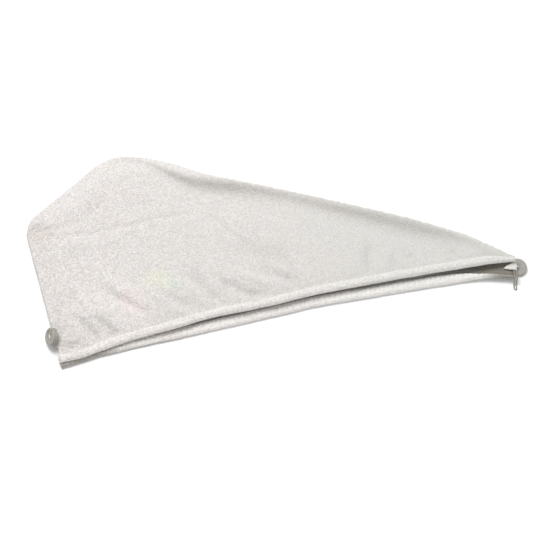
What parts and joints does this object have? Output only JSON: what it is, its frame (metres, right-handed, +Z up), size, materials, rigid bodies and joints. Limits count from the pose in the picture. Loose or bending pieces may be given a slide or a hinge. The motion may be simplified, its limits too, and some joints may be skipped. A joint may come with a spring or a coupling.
{
  "type": "hair turban towel",
  "caption": "Flat pouch of two white terry panels with stitched front hems, a button at nape and tail, and an elastic loop at the tail tip, lying on its side.",
  "frame": {"origin": "middle of the box of the lying towel, on the surface that it lies on, without the elastic loop", "axes": "+X along the open front from the nape corner to the tail tip, +Y from the open front to the crown seam, +Z up from the surface"},
  "size_m": [0.6544, 0.3107, 0.0229],
  "materials": {
    "terry_cloth": "short looped pile",
    "button_resin": "milky, slightly see-through",
    "sewing_thread": "twisted thread",
    "elastic_cord": "braided round elastic"
  },
  "bodies": {
    "root": {"upper_panel": "terry_cloth", "lower_panel": "terry_cloth", "upper_hem": "terry_cloth", "lower_hem": "terry_cloth", "seam_allowance": "terry_cloth", "tail_tab": "terry_cloth", "nape_button": "button_resin", "nape_thread": "sewing_thread", "tail_button": "button_resin", "tail_thread": "sewing_thread", "elastic_loop": "elastic_cord"}
  },
  "joints": []
}
